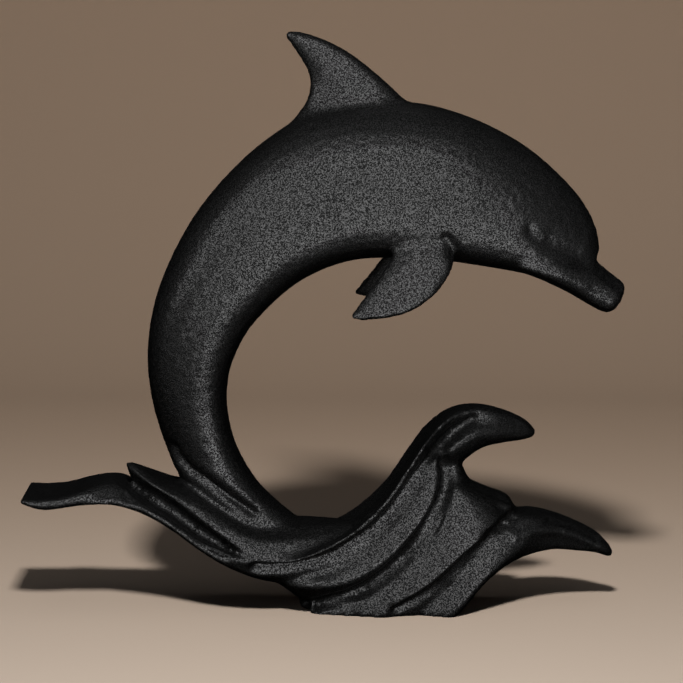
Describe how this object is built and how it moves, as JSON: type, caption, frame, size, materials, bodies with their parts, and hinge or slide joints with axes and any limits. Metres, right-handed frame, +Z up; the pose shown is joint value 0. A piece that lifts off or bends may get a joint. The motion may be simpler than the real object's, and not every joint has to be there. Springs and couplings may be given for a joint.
{
  "type": "dolphin figurine",
  "caption": "Matt black figurine of a dolphin leaping in an arch out of a curling wave with ribbed flanks, made in one piece.",
  "frame": {"origin": "centre of the foot's flat underside, on the surface the figurine stands on", "axes": "+X towards the dolphin's beak and along the wave, +Y across the figurine, to the dolphin's left, +Z up"},
  "size_m": [0.2081, 0.054, 0.201],
  "materials": {
    "matt_black_plastic": "matte"
  },
  "bodies": {
    "root": {"dolphin_figurine": "matt_black_plastic"}
  },
  "joints": []
}
